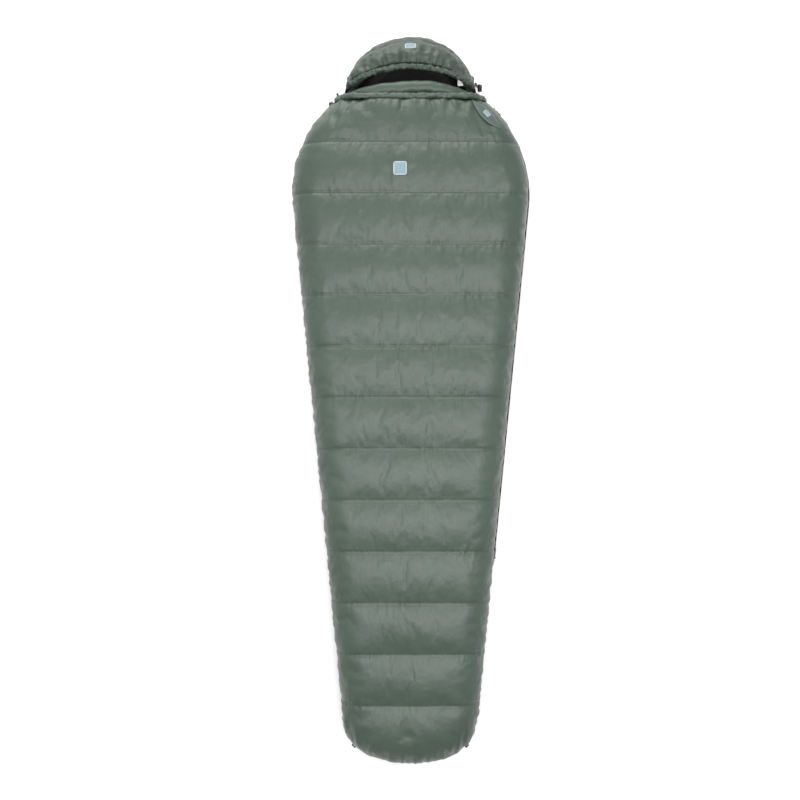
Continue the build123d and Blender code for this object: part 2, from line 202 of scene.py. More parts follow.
def endRows(outline, real, side, columns, count):
    # the closed end of the bag, in rows across it whose ends follow the outline evenly
    rows = []
    for x, y in along2(outline, count):
        px = np.linspace(-1, 1, columns) * max(x, 0.0004)
        py = np.full(columns, y)
        rows.append((*real(side, px, py), np.full(columns, abs(y - outline[0][1]))))
    return rows


def newMesh(name, points, faces, materials=(), slots=None, smooth=True):
    mesh = bpy.data.meshes.new(name)
    mesh.from_pydata([tuple(p) for p in points], [], [tuple(f) for f in faces])
    for material in materials:
        mesh.materials.append(material)
    if slots is not None:
        mesh.polygons.foreach_set("material_index", np.asarray(slots, dtype=np.int32))
    mesh.polygons.foreach_set("use_smooth", [smooth] * len(mesh.polygons))
    mesh.update()
    piece = bpy.data.objects.new(name, mesh)
    bpy.context.scene.collection.objects.link(piece)
    return piece


def gridFaces(rows, cols):
    index = np.arange(rows * cols).reshape(rows, cols)
    corners = [index[:-1, :-1], index[:-1, 1:], index[1:, 1:], index[1:, :-1]]
    return np.stack(corners, axis=-1).reshape(-1, 4)


def gridNormals(grid):
    rows, cols = grid.shape[:2]
    piece = newMesh("normals", grid.reshape(-1, 3), gridFaces(rows, cols))
    flat = np.empty(rows * cols * 3)
    piece.data.vertices.foreach_get("normal", flat)
    bpy.data.objects.remove(piece)
    return flat.reshape(rows, cols, 3)


class Wire:
    # a socket that takes part in sums and products
    def __init__(self, tree, socket):
        self.tree, self.socket = tree, socket

    def maths(self, operation, other, flip=False):
        node = self.tree.nodes.new("ShaderNodeMath")
        node.operation = operation
        pair = (other, self) if flip else (self, other)
        for spot, value in zip(node.inputs, pair):
            if isinstance(value, Wire):
                self.tree.links.new(value.socket, spot)
            else:
                spot.default_value = value
        return Wire(self.tree, node.outputs[0])

    def __add__(self, other): return self.maths("ADD", other)
    def __radd__(self, other): return self.maths("ADD", other)
    def __sub__(self, other): return self.maths("SUBTRACT", other)
    def __rsub__(self, other): return self.maths("SUBTRACT", other, True)
    def __mul__(self, other): return self.maths("MULTIPLY", other)
    def __rmul__(self, other): return self.maths("MULTIPLY", other)


class Finish:
    def __init__(self, name, **constants):
        self.material = bpy.data.materials.new(name)
        self.material.use_nodes = True
        self.tree = self.material.node_tree
        self.shader = self.tree.nodes["Principled BSDF"]
        for socket, value in constants.items():
            self.shader.inputs[socket.replace("_", " ")].default_value = value
        self.place = self.node("ShaderNodeTexCoord", out="Object")

    def node(self, kind, out=0, settings=None, **inputs):
        node = self.tree.nodes.new(kind)
        for key, value in (settings or {}).items():
            setattr(node, key, value)
        for key, value in inputs.items():
            spot = node.inputs[int(key[2:])] if key[:2] == "in" and key[2:].isdigit() \
                else node.inputs[key.replace("_", " ")]
            if isinstance(value, Wire):
                self.tree.links.new(value.socket, spot)
            else:
                spot.default_value = value
        return Wire(self.tree, node.outputs[out])

    def noise(self, scale, detail=3.0, rough=0.55):
        return self.node("ShaderNodeTexNoise", out="Fac", Vector=self.place,
                         Scale=scale, Detail=detail, Roughness=rough)

    def wave(self, scale, direction):
        return self.node("ShaderNodeTexWave", out="Fac",
                         settings={"wave_type": "BANDS", "bands_direction": direction},
                         Vector=self.place, Scale=scale)

    def mix(self, factor, dark, light):
        return self.node("ShaderNodeMix", out=2, settings={"data_type": "RGBA"},
                         in0=factor, in6=dark, in7=light)

    def feed(self, socket, wire):
        self.tree.links.new(wire.socket, self.shader.inputs[socket])
        return self

    def bump(self, height, strength, distance):
        normal = self.node("ShaderNodeBump", Height=height, Strength=strength, Distance=distance)
        return self.feed("Normal", normal)


def srgb(r, g, b):
    def linear(v):
        v /= 255
        return v / 12.92 if v <= 0.04045 else ((v + 0.055) / 1.055) ** 2.4
    return (linear(r), linear(g), linear(b), 1.0)


def nylon(name, dark, light, rough, sheen):
    # thin taffeta: fine threads, faint cloudy shade, soft crumple
    look = Finish(name, Sheen_Weight=sheen, Sheen_Roughness=0.4, IOR=1.48)
    clouds = look.noise(7.0, 4.0)
    crumple = look.noise(46.0, 5.0, 0.62)
    warp, weft = look.wave(900.0, "X"), look.wave(900.0, "Y")
    threads = warp * weft
    shade = clouds * 0.55 + crumple * 0.3 + threads * 0.15
    look.feed("Base Color", look.mix(shade, dark, light))
    look.feed("Roughness", rough + (crumple - 0.5) * 0.16 + threads * 0.03)
    relief = crumple * 0.8 + threads * 0.05 + look.noise(130.0, 3.0) * 0.25
    return look.bump(relief, 0.32, 0.004).material


def woven(name, dark, light, scale, rough=0.8):
    look = Finish(name, Sheen_Weight=0.15)
    ribs = look.wave(scale, "DIAGONAL")
    fuzz = look.noise(scale * 1.6, 3.0)
    look.feed("Base Color", look.mix(ribs * 0.5 + fuzz * 0.5, dark, light))
    look.feed("Roughness", rough + (fuzz - 0.5) * 0.2)
    return look.bump(ribs * 0.7 + fuzz * 0.4, 0.5, 0.0004).material


def moulded(name, dark, light, rough, metallic=0.0, coat=0.0):
    look = Finish(name, Metallic=metallic, Coat_Weight=coat)
    grain = look.noise(700.0, 3.0)
    wear = look.noise(60.0, 4.0)
    look.feed("Base Color", look.mix(wear, dark, light))
    look.feed("Roughness", rough + (wear - 0.5) * 0.15 + grain * 0.05)
    return look.bump(grain, 0.12, 0.0003).material


finishes = {
    "shell": nylon("shellNylon", srgb(43, 57, 48), srgb(64, 78, 67), 0.43, 0.03),
    "hood": nylon("hoodNylon", srgb(36, 49, 41), srgb(52, 65, 55), 0.46, 0.03),
    "lining": nylon("liningNylon", srgb(11, 11, 12), srgb(20, 20, 22), 0.6, 0.02),
    "tape": woven("zipTape", srgb(14, 14, 15), srgb(34, 34, 36), 700.0),
    "coil": moulded("coilNylon", srgb(14, 14, 14), srgb(30, 30, 30), 0.38),
    "metal": moulded("lacqueredMetal", srgb(16, 16, 17), srgb(38, 38, 40), 0.32, 0.6, 0.4),
    "napped": woven("hookAndLoop", srgb(14, 14, 15), srgb(46, 47, 46), 1500.0, 0.95),
    "badge": woven("badgeThread", srgb(96, 118, 126), srgb(128, 148, 156), 1100.0, 0.7),
    "badgeEdge": woven("badgeBorder", srgb(138, 152, 154), srgb(172, 184, 185), 1300.0, 0.7),
    "label": woven("labelSatin", srgb(186, 187, 184), srgb(212, 213, 209), 1600.0, 0.5),
    "cord": woven("cordBraid", srgb(12, 12, 13), srgb(52, 52, 54), 1200.0, 0.75),
    "lock": moulded("lockPlastic", srgb(14, 14, 15), srgb(26, 26, 27), 0.35),
    "button": moulded("buttonPlastic", srgb(206, 206, 202), srgb(226, 226, 222), 0.35),
    "steel": moulded("springSteel", srgb(150, 150, 152), srgb(190, 190, 192), 0.3, 1.0),
    "thread": woven("seamThread", srgb(44, 54, 47), srgb(62, 74, 64), 2400.0, 0.7),
    # near-black piping colour: painted shadow for the dark line along the tab's edge
    "piping": woven("tabPiping", srgb(18, 23, 21), srgb(36, 43, 39), 1400.0, 0.6),
    "tabCloth": nylon("tabNylon", srgb(58, 70, 66), srgb(76, 88, 84), 0.42, 0.04),
}
print("finishes made")

seams = [quilt["seamY"] + quilt["pitch"] * k for k in range(quilt["first"], quilt["last"] + 1)]


def wobble(x, y, z, scale):
    return np.array([noise.noise(Vector((a * scale, b * scale, c * scale)))
                     for a, b, c in zip(x.ravel(), y.ravel(), z.ravel())]).reshape(x.shape)


def chamberRows(low, high, step):
    count = 2 * max(int(round((high - low) / step / 2)), 1)
    return [(low + (high - low) * i / count, i / count) for i in range(count)]


def swell(grid, f, edge, strength, seed, mask, flatBelow=None, extra=None):
    # quilted relief: chambers stand up between the seams, where f is 0 or 1, and pucker along them
    normals = gridNormals(grid)
    dome = np.power(np.clip(4 * f * (1 - f), 0, 1), 0.55)
    border = 1 - np.exp(-(edge / quilt["edge"]) ** 2)
    x, y, z = grid[..., 0], grid[..., 1], grid[..., 2]
    off = np.where(f < 0.5, f, f - 1) * quilt["pitch"]
    gap = np.abs(off)
    rows = np.floor((y - quilt["seamY"]) / quilt["pitch"] + 0.5)
    lean = 0.5 * wobble(x * 0.7, rows * 3.1 + seed, z * 0, 5.0)
    uneven = np.clip(0.55 + 1.5 * wobble(x, rows * 1.7 + seed, z * 0, 9.0), 0.12, 1.5)
    ridge = wobble(x + lean * off, rows * 2.3 + seed, off * 0.12, 92.0)
    ridge = ridge + 0.45 * wobble(x - lean * off, rows * 4.1 + seed, off * 0.1, 190.0)
    fine = ridge * uneven * np.exp(-gap / quilt["puckerReach"])
    sides = np.exp(-((edge - 0.03) / 0.035) ** 2) * wobble(x * 0.2, y, z * 0.1, 62.0)
    broad = wobble(x * 0.6, y, z, 10.0) + 0.5 * wobble(x, y * 1.5, z, 21.0)
    relief = (quilt["puff"] * dome - quilt["sink"]) * border
    relief = relief - 0.0016 * np.exp(-gap / 0.004) * np.clip(border * 2, 0, 1)
    relief = relief + fine * quilt["pucker"] * np.clip(border * 1.6, 0.12, 1)
    relief = relief + broad * quilt["fold"] * border * (0.3 + 0.7 * dome)
    relief = relief + sides * 0.0034
    relief = relief * strength
    if extra is not None:
        relief = relief + extra(x, y, z, edge)
    relief = relief * mask
    if flatBelow is not None:
        relief = relief * np.clip(z / flatBelow, 0, 1)
    return grid + normals * relief[..., None], normals


blow = {
    "frames": 22, "quality": 4, "pressure": 1.5, "spare": 0.006, "hoodSpare": 0.03,
    "mass": 0.12, "stiff": 14.0, "shear": 4.0, "bend": 0.04, "damping": 4.0,
}


def blown(grid, held, spare, name):
    # cloth held at its seams and filled from below, then kept as a plain mesh
    coarse = grid[::2, ::2]
    rows, cols = coarse.shape[:2]
    index = np.arange(rows * cols).reshape(rows, cols)
    piece = newMesh(name, coarse.reshape(-1, 3), gridFaces(rows, cols))
    group = piece.vertex_groups.new(name="held")
    group.add([int(i) for i in index[held[::2, ::2]]], 1.0, "REPLACE")
    mod = piece.modifiers.new("cloth", "CLOTH")
    cloth = mod.settings
    cloth.vertex_group_mass = "held"
    cloth.quality = blow["quality"]
    cloth.mass = blow["mass"]
    cloth.tension_stiffness = cloth.compression_stiffness = blow["stiff"]
    cloth.shear_stiffness = blow["shear"]
    cloth.bending_stiffness = blow["bend"]
    cloth.air_damping = blow["damping"]
    cloth.use_pressure = True
    cloth.uniform_pressure_force = blow["pressure"]
    cloth.shrink_min = cloth.shrink_max = -spare
    cloth.effector_weights.gravity = 0.0
    mod.collision_settings.use_collision = False
    mod.point_cache.frame_start, mod.point_cache.frame_end = 1, blow["frames"]
    stageTime = bpy.context.scene
    stageTime.frame_start, stageTime.frame_end = 1, blow["frames"]
    for step in range(1, blow["frames"] + 1):
        stageTime.frame_set(step)
    settled = piece.evaluated_get(bpy.context.evaluated_depsgraph_get()).to_mesh()
    flat = np.empty(rows * cols * 3)
    settled.vertices.foreach_get("co", flat)
    bpy.data.objects.remove(piece)
    move = flat.reshape(rows, cols, 3) - coarse
    half = np.empty((grid.shape[0], cols, 3))
    half[::2] = move
    half[1::2] = (move[:-1] + move[1:]) / 2
    full = np.empty_like(grid)
    full[:, ::2] = half
    full[:, 1::2] = (half[:, :-1] + half[:, 1:]) / 2
    stageTime.frame_set(1)
    print("cloth", name, "moved up to", round(float(np.abs(full).max()), 4))
    return grid + full


def closedQuilt(name, outer, inner, looks):
    # outer and inner fabric grids joined round their borders
    rows, cols = outer.shape[:2]
    base = rows * cols
    points = np.vstack([outer.reshape(-1, 3), inner.reshape(-1, 3)])
    index = np.arange(base).reshape(rows, cols)
    faces = gridFaces(rows, cols)
    back = faces[:, ::-1] + base
    ring = np.concatenate([index[0, :-1], index[:-1, -1], index[-1, :0:-1], index[:0:-1, 0]])
    nxt = np.roll(ring, -1)
    rim = np.stack([nxt, ring, ring + base, nxt + base], axis=1)
    slots = np.concatenate([np.zeros(len(faces)), np.ones(len(back)), np.zeros(len(rim))])
    return newMesh(name, points, np.vstack([faces, back, rim]), looks, slots)


def acrossLengths(row):
    # distance of each point from the nearer end of its row
    steps = np.linalg.norm(np.diff(row, axis=0), axis=1)
    lengths = np.concatenate([[0], np.cumsum(steps)])
    return np.minimum(lengths, lengths[-1] - lengths)


def footRows(side, columns, count):
    rows, part, edge = [], [], []
    for points, q, down in endRows(footOutline(side.grow, seams[0]), footReal, side, columns, count)[::-1]:
        rows.append(points)
        part.append(1 - np.clip(down / quilt["pitch"], 0, 0.5))
        edge.append(np.minimum(q, quilt["edgeReach"]))
    return rows, part, edge


def upperBase():
    # one piece from the foot's end to the neck
    cols = quilt["across"]
    rows, part, edge = footRows(topSide, cols, 2 * int(0.24 / quilt["rowStep"]) + 1)
    levels = seams + [shape["neckY"]]
    for low, high in zip(levels, levels[1:]):
        for y, f in chamberRows(low, high, quilt["rowStep"]):
            if y == seams[0]:
                continue
            start = shape["zipEdge"] * np.clip((y - shape["zipFoot"]) / 0.01, 0, 1)
            rows.append(crossRow(topSide, y, bodyHalf, start, cols))
            part.append(np.full(cols, f))
            edge.append(acrossLengths(rows[-1]))
    rows.append(crossRow(topSide, shape["neckY"], bodyHalf, shape["zipEdge"], cols))
    part.append(np.ones(cols))
    edge.append(acrossLengths(rows[-1]))
    return np.array(rows), np.array(part), np.array(edge)


# creases in metres: from, to, half width, depth
creases = [
    ((0.190, 0.868), (0.216, 0.786), 0.006, 0.0065),
    ((0.150, 0.878), (0.178, 0.815), 0.007, 0.004),
    ((0.232, 0.82), (0.262, 0.765), 0.006, 0.003),
    ((-0.2, 0.875), (-0.228, 0.812), 0.007, 0.003),
    ((-0.026, 0.897), (-0.028, 0.868), 0.009, 0.006),
    ((-0.105, 0.896), (-0.122, 0.858), 0.008, 0.004),
    ((0.062, 0.897), (0.074, 0.852), 0.008, 0.0045),
    ((-0.16, 0.893), (-0.187, 0.862), 0.006, 0.004),
    ((0.115, 0.895), (0.128, 0.866), 0.006, 0.004),
]


def neckAndFootFolds(x, y, z, edge):
    # gathers and creases under the neck, and the hollow and fine folds at the foot's end
    down = np.clip(shape["neckY"] - y, 0, None)
    border = 1 - np.exp(-(edge / 0.05) ** 2)
    gathers = wobble(x, y * 0.12, z * 0, 46.0) * 0.0065 * np.exp(-down / 0.035)
    gathers = gathers + wobble(x, y * 0.2, z * 0, 17.0) * 0.007 * np.exp(-down / 0.085)
    relief = gathers * border
    for a, b, width, depth in creases:
        run = np.array(b) - np.array(a)
        s = np.clip(((x - a[0]) * run[0] + (y - a[1]) * run[1]) / (run @ run), 0, 1)
        off = np.hypot(x - a[0] - s * run[0], y - a[1] - s * run[1])
        relief = relief - depth * np.exp(-(off / (width * (1.15 - s * 0.6))) ** 2) * (1 - 0.5 * s)
    hollow = np.exp(-(x / 0.085) ** 2 - ((y + 1.0) / 0.04) ** 2) * 0.009
    rim = np.clip((-y - 0.93) / 0.05, 0, 1) * np.exp(-((edge - 0.075) / 0.03) ** 2)
    relief = relief - hollow + rim * wobble(x, y * 0.25, z * 0.1, 75.0) * 0.0075
    return relief


def middle(node):
    low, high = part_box(node)
    return np.array([(low[k] + high[k]) / 2 for k in range(3)])


# the upper quilt lies flatter and a little lower under the tab
underTab = {"reach": 0.05, "flatter": 0.9, "sinkReach": 0.062, "sink": 0.0016}
base, part, edge = upperBase()
away = np.linalg.norm(base[..., :2] - middle("zip_tab")[:2], axis=2)
mask = 1 - underTab["flatter"] * np.exp(-(away / underTab["reach"]) ** 4)
upper, upperNormals = swell(base, part, edge, 1.0, quilt["seed"], mask, None, neckAndFootFolds)
sunk = underTab["sink"] * np.exp(-(away / underTab["sinkReach"]) ** 4)
upper = upper - upperNormals * sunk[..., None]
held = (edge < 0.012) | (part < 0.001) | (part > 0.999) | (away < underTab["reach"])
upper = blown(upper, held, blow["spare"], "upperCloth")
inside = base - upperNormals * shape["wall"]
quiltTop = closedQuilt("quiltTop", upper, inside, [finishes["shell"], finishes["lining"]])
print("upper quilt", upper.shape)


under = {"across": 130, "rowStep": 0.009, "hoodStart": 0.975, "hoodRows": 46,
         "strength": 0.8, "flatBelow": 0.03, "lockReach": 0.05}


def lowerBase():
    # one piece under the body and the hood
    cols, step, hoodStart = under["across"], under["rowStep"], under["hoodStart"]
    rows, part, edge = footRows(lowSide, cols, int(0.48 / step))

    def union(y, t):
        return np.maximum(bodyHalf(y, t), hoodHalf(y, t))

    levels = seams + [shape["neckY"], hoodStart]
    for low, high in zip(levels, levels[1:]):
        for y, f in chamberRows(low, high, step):
            if y == seams[0]:
                continue
            zipped = shape["zipFoot"] < y < shape["neckY"]
            rows.append(crossRow(lowSide, y, union, shape["zipEdge"] if zipped else 0.0, cols))
            part.append(np.full(cols, f))
            edge.append(acrossLengths(rows[-1]))
    grownR = shape["hoodR"] + lowSide.grow
    a0 = math.asin((hoodStart - hoodY) / grownR)
    arc = np.linspace(a0, math.pi / 2, 60)
    outline = np.stack([grownR * np.cos(arc), hoodY + grownR * np.sin(arc)], axis=1)
    for points, q, down in endRows(outline, hoodReal, lowSide, cols, under["hoodRows"]):
        rows.append(points)
        part.append(np.clip(down / quilt["pitch"], 0, 0.5))
        edge.append(np.minimum(q, quilt["edgeReach"]))
    return np.array(rows), np.array(part), np.array(edge)


base, part, edge = lowerBase()
base = base[::-1]
part, edge = part[::-1], edge[::-1]
clear = np.ones_like(edge)
for node in ("collar_lock_barrel", "hood_lock_barrel"):
    away = np.linalg.norm(base[..., :2] - middle(node)[:2], axis=2)
    clear = clear * (1 - np.exp(-(away / under["lockReach"]) ** 4))
lower, lowerNormals = swell(base, part, edge, under["strength"], quilt["seed"] + 1, clear,
                            under["flatBelow"])
lower[..., 2] = np.maximum(lower[..., 2], 0.0)
inside = base - lowerNormals * shape["wall"]
quiltBottom = closedQuilt("quiltBottom", lower, inside, [finishes["shell"], finishes["lining"]])
print("lower quilt", lower.shape)


hood = {"across": 181, "rows": 49, "tips": 0.12, "gather": 0.011, "seamGather": 0.005,
        "dome": 0.006, "sink": 0.002, "border": 0.03}


def hoodBase():
    # the hood's top, from the gathered face edge to the seam round it
    cols, count = hood["across"], hood["rows"]
    limit = math.acos((shape["brimR"] ** 2 + (hoodY - shape["brimY"]) ** 2 - shape["hoodR"] ** 2)
                      / (2 * shape["brimR"] * (hoodY - shape["brimY"])))
    a = np.linspace(-limit, limit, 300)
    bx, by = shape["brimR"] * np.sin(a), shape["brimY"] + shape["brimR"] * np.cos(a)
    t = np.clip(shape["hoodR"] - np.hypot(bx, by - hoodY), 0, None)
    radius = shape["topRound"]
    q = np.where(t < radius, topSide.wall + radius * np.arccos(np.clip(1 - t / radius, -1, 1)),
                 topSide.full + t - radius)
    dist = shape["hoodR"] + topSide.grow - q
    angle = np.arctan2(by - hoodY, bx)
    brim = np.stack([dist * np.cos(angle), hoodY + dist * np.sin(angle)], axis=1)
    grownR = shape["hoodR"] + topSide.grow
    tips = [[grownR * math.cos(angle[k]), hoodY + grownR * math.sin(angle[k])] for k in (0, -1)]
    brim = along2(np.vstack([tips[:1], brim, tips[1:]]), cols)
    arc = np.linspace(angle[0], angle[-1], cols)
    outline = np.stack([grownR * np.cos(arc), hoodY + grownR * np.sin(arc)], axis=1)
    rows, edge = [], []
    for s in np.linspace(0, 1, count):
        row = (1 - s) * brim + s * outline
        points, q = hoodReal(topSide, row[:, 0], row[:, 1])
        rows.append(points)
        edge.append(q)
    return np.array(rows), np.array(edge)


base, edge = hoodBase()
s = np.linspace(0, 1, len(base))
normals = gridNormals(base)
normals[:, 0], normals[:, -1] = normals[:, 1], normals[:, -2]
s, u = np.meshgrid(s, np.linspace(0, 1, base.shape[1]), indexing="ij")
f = np.where(s < 0.5, s / 0.5, (s - 0.5) / 0.5)
ends = np.clip(np.minimum(u, 1 - u) / hood["tips"], 0, 1)
x, y, z = base[..., 0], base[..., 1], base[..., 2]
gather = wobble(u, s * 0.1, u * 0, 34.0) * np.exp(-s / 0.2) * hood["gather"]
seamGather = wobble(u, s * 0.1, u * 0 + 5, 22.0) * np.exp(-np.abs(s - 0.5) / 0.1)
gather = gather + seamGather * hood["seamGather"]
dome = np.power(np.clip(4 * f * (1 - f), 0, 1), 0.6) * hood["dome"] - hood["sink"]
broad = wobble(x, y, z, 17.0) * 0.005 + wobble(x, y * 2, z, 44.0) * 0.0025
relief = (dome + gather + broad) * ends * (1 - np.exp(-(edge / hood["border"]) ** 2))
hoodOuter = base + normals * relief[..., None]
held = (edge < 0.01) | (s < 0.001) | (np.abs(s - 0.5) < 0.001) | (ends < 0.3)
hoodOuter = blown(hoodOuter, held, blow["hoodSpare"], "hoodCloth")
out = np.stack([x, y - hoodY, 0 * x], axis=-1)
out /= np.linalg.norm(out, axis=-1, keepdims=True)
lean = np.clip((edge - topSide.wall) / topSide.radius, 0, math.pi / 2)[..., None]
inward = -(out * np.cos(lean) + np.array([0, 0, 1]) * np.sin(lean))
hoodInner = base + inward * shape["wall"] * np.clip(ends, 0.04, 1)[..., None]
quiltHood = closedQuilt("quiltHood", hoodOuter, hoodInner, [finishes["hood"], finishes["lining"]])
print("hood")


def outward(piece):
    work = bmesh.new()
    work.from_mesh(piece.data)
    bmesh.ops.remove_doubles(work, verts=work.verts, dist=1e-6)
    bmesh.ops.recalc_face_normals(work, faces=work.faces)
    work.to_mesh(piece.data)
    work.free()


def swept(name, path, across, up, section, look, close=True):
    # a tube or band: section(i) gives its outline at step i, as (across, up) pairs
    rings = [[p + across[i] * a + up[i] * b for a, b in section(i)] for i, p in enumerate(path)]
    n, m = len(rings), len(rings[0])
    points = np.array(rings).reshape(-1, 3)
    faces = [(i * m + j, i * m + (j + 1) % m, (i + 1) * m + (j + 1) % m, (i + 1) * m + j)
             for i in range(n - 1) for j in range(m)]
    if close:
        faces += [tuple(range(m))[::-1], tuple(range((n - 1) * m, n * m))]
    piece = newMesh(name, points, faces, [look])
    outward(piece)
    return piece


def oval(wide, high, count, blunt=1.0):
    # points round an oval, which is squarer as blunt falls below 1
    turns = [2 * math.pi * k / count for k in range(count)]
    return [(wide * math.copysign(abs(math.cos(turn)) ** blunt, math.cos(turn)),
             high * math.copysign(abs(math.sin(turn)) ** blunt, math.sin(turn))) for turn in turns]


def roundSection(radius, wrinkle, count, seed):
    # a gathered tube: folds run round it at uneven steps
    def at(i):
        out = []
        for j in range(count):
            angle = 2 * math.pi * j / count
            c, t = math.cos(angle), math.sin(angle)
            r = radius * (1 + wrinkle * (noise.noise(Vector((i * 0.21 + seed * 9, c * 0.7, t * 0.7)))
                                         + 0.6 * noise.noise(Vector((i * 0.07, c + seed, t)))))
            out.append((r * c, r * t))
        return out
    return at


def frames(path, hint):
    tangents = np.gradient(path, axis=0)
    tangents /= np.linalg.norm(tangents, axis=1, keepdims=True)
    across = np.cross(tangents, np.broadcast_to(hint, path.shape))
    across /= np.linalg.norm(across, axis=1, keepdims=True)
    return across, np.cross(across, tangents)


def sideOfBag(yLow, yHigh, inset, z, count, sign=1):
    y = np.linspace(yLow, yHigh, count)
    x = bodyHalf(y, inset)
    path = np.stack([sign * x, y, np.full(count, z)], axis=1)
    tangent = np.gradient(path, axis=0)
    tangent /= np.linalg.norm(tangent, axis=1, keepdims=True)
    out = np.stack([tangent[:, 1] * sign, -tangent[:, 0] * sign, np.zeros(count)], axis=1)
    return path, out


neck = {"radius": 0.0093, "y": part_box("collar_channel")[0][1] + 0.0093, "half": 0.224,
        "low": 0.1, "steps": 260}
bend = shape["topRound"] - neck["radius"]
flatZ = shape["loft"] - neck["radius"]
arc = np.linspace(math.pi, math.pi / 2, 30)
midX = neck["half"] - bend
leftArc = np.stack([-midX + bend * np.cos(arc), np.full(30, neck["y"]),
                    flatZ - bend + bend * np.sin(arc)], axis=1)
leftEnd = np.array([[-neck["half"], neck["y"], neck["low"]]])
neckPath = np.vstack([leftEnd, leftArc, (leftArc * [-1, 1, 1])[::-1], leftEnd * [-1, 1, 1]])
neckPath = resample(neckPath, neck["steps"])
across, up = frames(neckPath, (0, 1, 0))
neckBand = swept("neckChannel", neckPath, across, up,
                 roundSection(neck["radius"] * 0.96, 0.3, 24, 3), finishes["shell"])

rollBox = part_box("collar_roll")
roll = {"steps": 200, "reach": 0.198, "drop": 0.034, "back": 0.026, "around": 30}
u = np.linspace(-1, 1, roll["steps"])
rollMid = middle("collar_roll")
rollX = u * roll["reach"]
rollFade = np.sqrt(np.clip(1 - np.abs(u) ** 2.6, 0, 1))
rollPath = np.stack([rollX, rollMid[1] - roll["back"] * np.abs(u) ** 2.2 + 0.002 * np.sin(u * 5),
                     rollMid[2] + 0.002 - roll["drop"] * np.abs(u) ** 3], axis=1)


def rollSection(i):
    size = 0.03 + 0.97 * rollFade[i]
    dy, dz = (rollBox[1][1] - rollBox[0][1]) / 2 + 0.001, (rollBox[1][2] - rollBox[0][2]) / 2
    out = []
    for j in range(roll["around"]):
        angle = 2 * math.pi * j / roll["around"]
        c, t = math.cos(angle), math.sin(angle)
        crease = noise.noise(Vector((u[i] * 7, c * 0.8, t * 0.8))) * 0.1
        crease += noise.noise(Vector((u[i] * 26, c * 0.5, t * 0.5))) * 0.07 * max(-c, 0.25)
        out.append((dy * size * (1 + crease) * math.copysign(abs(c) ** 0.8, c),
                    dz * size * (1 + crease) * math.copysign(abs(t) ** 0.8, t)))
    return out


across, up = frames(rollPath, (0, 0, 1))
across = -across
collarRoll = swept("collarRoll", rollPath, across, up, rollSection, finishes["shell"])

brimTube = {"radius": 0.0088, "inset": 0.0096, "steps": 240}
brimArc = np.linspace(-0.5, 0.5, brimTube["steps"])
brimRadius = shape["brimR"] - brimTube["inset"]
bx, by = brimRadius * np.sin(brimArc), shape["brimY"] + brimRadius * np.cos(brimArc)
inset = np.clip(shape["hoodR"] - np.hypot(bx, by - hoodY), 0.004, shape["topRound"])
bz = (shape["loft"] - shape["topRound"]
      + np.sqrt(shape["topRound"] ** 2 - (shape["topRound"] - inset) ** 2) - brimTube["radius"])
brimPath = resample(np.stack([bx, by, bz], axis=1), brimTube["steps"])
across, up = frames(brimPath, (0, 0, 1))
hoodBrim = swept("hoodBrim", brimPath, across, up,
                 roundSection(brimTube["radius"], 0.42, 24, 5), finishes["hood"])
print("neck and brim")

zipLow, zipHigh = shape["zipFoot"] + 0.004, shape["neckY"] - 0.004


def band(name, yLow, yHigh, inset, z, section, look, sign=1, count=260):
    path, out = sideOfBag(yLow, yHigh, inset, z, count, sign)
    up = np.tile([0.0, 0.0, 1.0], (count, 1))
    return swept(name, path, out, up, lambda i: section, look)


def slab(depth, height):
    d, h, r = depth / 2, height / 2, min(depth, height) / 5
    return [(-d, -h + r), (-d + r, -h), (d - r, -h), (d, -h + r),
            (d, h - r), (d - r, h), (-d + r, h), (-d, h - r)]


# zip tapes, the guard strip under them, the draft tube behind them and the other side's piping; the guard
# strip is black and stands out past the side, partly painted shade for the dark gap beside the zip
tape = {"inset": 0.0006, "thick": 0.0008, "height": 0.0068, "low": 0.0826, "high": 0.0954}
tapeSlab = slab(tape["thick"], tape["height"])
lowTape = band("lowerTape", zipLow, zipHigh, tape["inset"], tape["low"], tapeSlab, finishes["tape"])
highTape = band("upperTape", zipLow, zipHigh, tape["inset"], tape["high"], tapeSlab, finishes["tape"])
# black strip just outside the zip: painted shade that widens the zip's dark line
guardShade = {"height": 0.0755, "out": 0.0032, "radius": 0.003, "short": 0.012}
zipGuard = band("zipGuard", zipLow, zipHigh - guardShade["short"], -guardShade["out"], guardShade["height"],
                oval(guardShade["radius"], guardShade["radius"], 10), finishes["tape"])
tube = {"inset": 0.018, "halfWide": 0.0115, "halfHigh": 0.0088}
draft = band("draftTube", zipLow, zipHigh, tube["inset"], shape["parting"],
             oval(tube["halfWide"], tube["halfHigh"], 18, 0.8), finishes["lining"])
pipe = {"start": -0.965, "end": 0.893, "inset": 0.0009, "halfWide": 0.0013, "halfHigh": 0.0016}
piping = band("sidePiping", pipe["start"], pipe["end"], pipe["inset"], shape["parting"],
              oval(pipe["halfWide"], pipe["halfHigh"], 8), finishes["shell"], -1)


